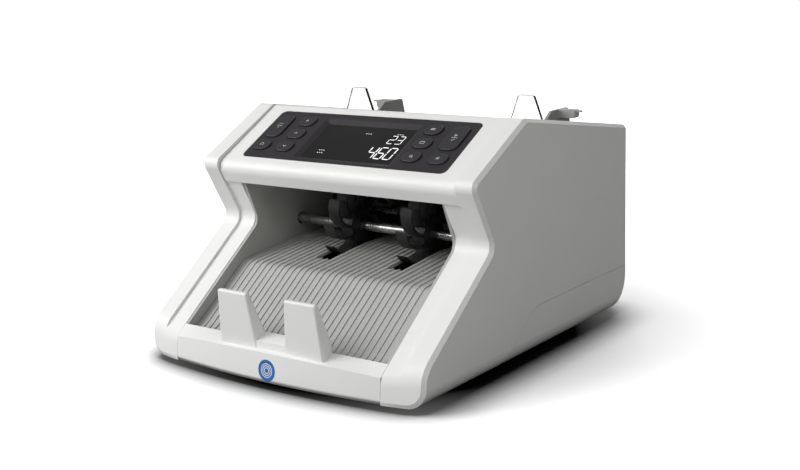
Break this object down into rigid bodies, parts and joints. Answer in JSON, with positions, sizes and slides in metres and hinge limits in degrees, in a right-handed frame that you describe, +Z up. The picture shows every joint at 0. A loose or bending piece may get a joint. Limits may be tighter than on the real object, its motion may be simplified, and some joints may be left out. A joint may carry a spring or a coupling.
{
  "type": "banknote counting machine",
  "caption": "Desktop banknote counter: sloping key panel with display, note hopper on top, open ribbed stacker pocket with fingered lip, roller transport inside.",
  "frame": {"origin": "on the table, under the middle of the machine", "axes": "+Z up, +Y towards the back, +X to the operator's right when facing the key panel"},
  "size_m": [0.25, 0.2958, 0.182],
  "materials": {
    "cover_white": "fine satin texture",
    "fascia_charcoal": "satin",
    "key_charcoal": "satin",
    "display_black": "polished",
    "display_metal": "plain",
    "clear": "polished",
    "badge_blue": "gloss",
    "pocket_grey": "fine satin",
    "liner_grey": "matt",
    "black_plastic": "matt",
    "guide_grey": "satin",
    "steel": "turned",
    "zinc_sheet": "zinc plated",
    "roller_rubber": "ground",
    "belt_rubber": "matt",
    "foot_rubber": "matt",
    "gear_white": "moulded",
    "bush_bronze": "plain",
    "motor_metal": "plain",
    "board_green": "solder mask",
    "cable_grey": "plain"
  },
  "bodies": {
    "root": {"left_side_cover": "cover_white", "right_side_cover": "cover_white", "base_shell": "cover_white", "front_lip": "cover_white", "control_housing": "cover_white", "top_cover": "cover_white", "front_badge": "badge_blue", "stacker_plate": "pocket_grey", "pocket_side_walls": "liner_grey", "pocket_back_wall": "black_plastic", "control_fascia": "fascia_charcoal", "display_window": "display_black", "display_module": "display_metal", "panel_board": "board_green", "key_mat": "key_charcoal", "hopper_tray": "liner_grey", "clear_stops": "clear", "pinion_bridge": "zinc_sheet", "frame_plates": "zinc_sheet", "cross_rods": "steel", "shaft_bushes": "bush_bronze", "drive_belt": "belt_rubber", "drive_motor": "motor_metal", "sensor_bar": "black_plastic", "main_board": "board_green", "power_supply": "zinc_sheet", "ribbon_cable": "cable_grey", "rear_panel": "cover_white", "power_inlet": "black_plastic", "data_ports": "black_plastic", "rubber_feet": "foot_rubber", "case_screws": "steel"},
    "left_wide_key": {"left_wide_key": "key_charcoal"},
    "left_low_key": {"left_low_key": "key_charcoal"},
    "left_top_key": {"left_top_key": "key_charcoal"},
    "up_key": {"up_key": "key_charcoal"},
    "down_key": {"down_key": "key_charcoal"},
    "right_top_key": {"right_top_key": "key_charcoal"},
    "right_middle_key": {"right_middle_key": "key_charcoal"},
    "right_low_key": {"right_low_key": "key_charcoal"},
    "start_key": {"start_key": "key_charcoal"},
    "clear_key": {"clear_key": "key_charcoal"},
    "right_guide": {"right_note_guide": "guide_grey"},
    "left_guide": {"left_note_guide": "guide_grey"},
    "pinion": {"guide_pinion": "gear_white"},
    "screw": {"gap_screw": "steel"},
    "pad": {"retard_pad": "black_plastic"},
    "feed": {"feed_shaft": "steel", "feed_rollers": "roller_rubber", "feed_gear": "gear_white"},
    "transport": {"transport_shaft": "steel", "transport_rollers": "roller_rubber", "transport_pulley_gear": "gear_white"},
    "pinch": {"pinch_roller": "black_plastic"},
    "stacker": {"stacker_shaft": "steel", "stacker_pulley": "gear_white", "stacker_wheels": "black_plastic"},
    "motor_rotor": {"motor_pulley": "gear_white"},
    "rocker": {"power_rocker": "black_plastic"},
    "door": {"rear_door": "cover_white"}
  },
  "joints": [
    {"name": "left_wide_press", "type": "slide", "parent": "root", "child": "left_wide_key", "axis": [0, 0.4756, -0.8796], "range_m": [0, 0.001], "stiffness_N_per_m": 400, "springref_m": -0.0005},
    {"name": "left_low_press", "type": "slide", "parent": "root", "child": "left_low_key", "axis": [0, 0.4756, -0.8796], "range_m": [0, 0.001], "stiffness_N_per_m": 400, "springref_m": -0.0005},
    {"name": "left_top_press", "type": "slide", "parent": "root", "child": "left_top_key", "axis": [0, 0.4756, -0.8796], "range_m": [0, 0.001], "stiffness_N_per_m": 400, "springref_m": -0.0005},
    {"name": "up_press", "type": "slide", "parent": "root", "child": "up_key", "axis": [0, 0.4756, -0.8796], "range_m": [0, 0.001], "stiffness_N_per_m": 400, "springref_m": -0.0005},
    {"name": "down_press", "type": "slide", "parent": "root", "child": "down_key", "axis": [0, 0.4756, -0.8796], "range_m": [0, 0.001], "stiffness_N_per_m": 400, "springref_m": -0.0005},
    {"name": "right_top_press", "type": "slide", "parent": "root", "child": "right_top_key", "axis": [0, 0.4756, -0.8796], "range_m": [0, 0.001], "stiffness_N_per_m": 400, "springref_m": -0.0005},
    {"name": "right_middle_press", "type": "slide", "parent": "root", "child": "right_middle_key", "axis": [0, 0.4756, -0.8796], "range_m": [0, 0.001], "stiffness_N_per_m": 400, "springref_m": -0.0005},
    {"name": "right_low_press", "type": "slide", "parent": "root", "child": "right_low_key", "axis": [0, 0.4756, -0.8796], "range_m": [0, 0.001], "stiffness_N_per_m": 400, "springref_m": -0.0005},
    {"name": "start_press", "type": "slide", "parent": "root", "child": "start_key", "axis": [0, 0.4756, -0.8796], "range_m": [0, 0.001], "stiffness_N_per_m": 400, "springref_m": -0.0005},
    {"name": "clear_press", "type": "slide", "parent": "root", "child": "clear_key", "axis": [0, 0.4756, -0.8796], "range_m": [0, 0.001], "stiffness_N_per_m": 400, "springref_m": -0.0005},
    {"name": "right_guide_slide", "type": "slide", "parent": "root", "child": "right_guide", "axis": [1, 0, 0], "range_m": [-0.025, 0.01]},
    {"name": "left_guide_slide", "type": "slide", "parent": "root", "child": "left_guide", "axis": [-1, 0, 0], "range_m": [-0.025, 0.01]},
    {"name": "pinion_spin", "type": "hinge", "parent": "root", "child": "pinion", "pos_m": [0, 0.12, 0.116], "axis": [0, 0, 1], "range_deg": [-240, 96]},
    {"name": "gap_screw_turn", "type": "hinge", "parent": "root", "child": "screw", "pos_m": [0, 0.057, 0.16], "axis": [0, 0, 1], "range_deg": [-180, 180]},
    {"name": "pad_slide", "type": "slide", "parent": "root", "child": "pad", "axis": [0, 0, 1], "range_m": [-0.00025, 0.00025]},
    {"name": "transport_spin", "type": "hinge", "parent": "root", "child": "transport", "pos_m": [0, 0.066, 0.08], "axis": [1, 0, 0], "continuous": true},
    {"name": "feed_spin", "type": "hinge", "parent": "root", "child": "feed", "pos_m": [0, 0.084, 0.104], "axis": [1, 0, 0], "continuous": true},
    {"name": "stacker_spin", "type": "hinge", "parent": "root", "child": "stacker", "pos_m": [0, 0.002, 0.084], "axis": [1, 0, 0], "continuous": true},
    {"name": "pinch_spin", "type": "hinge", "parent": "root", "child": "pinch", "pos_m": [0, 0.066, 0.0567], "axis": [1, 0, 0], "continuous": true},
    {"name": "motor_spin", "type": "hinge", "parent": "root", "child": "motor_rotor", "pos_m": [0, 0.107, 0.042], "axis": [1, 0, 0], "continuous": true},
    {"name": "rocker_tilt", "type": "hinge", "parent": "root", "child": "rocker", "pos_m": [-0.042, 0.1415, 0.0545], "axis": [1, 0, 0], "range_deg": [0, 16]},
    {"name": "door_swing", "type": "hinge", "parent": "root", "child": "door", "pos_m": [0, 0.14475, 0.0715], "axis": [-1, 0, 0], "range_deg": [0, 85]}
  ],
  "couplings": [
    {"joint": "left_guide_slide", "follows": "right_guide_slide", "ratio": 1},
    {"joint": "pinion_spin", "follows": "right_guide_slide", "rad_per_m": 166.67},
    {"joint": "gap_screw_turn", "follows": "pad_slide", "rad_per_m": 12566},
    {"joint": "feed_spin", "follows": "transport_spin", "ratio": -1},
    {"joint": "stacker_spin", "follows": "transport_spin", "ratio": 1},
    {"joint": "pinch_spin", "follows": "transport_spin", "ratio": -1.875},
    {"joint": "motor_spin", "follows": "transport_spin", "ratio": 1.75}
  ]
}
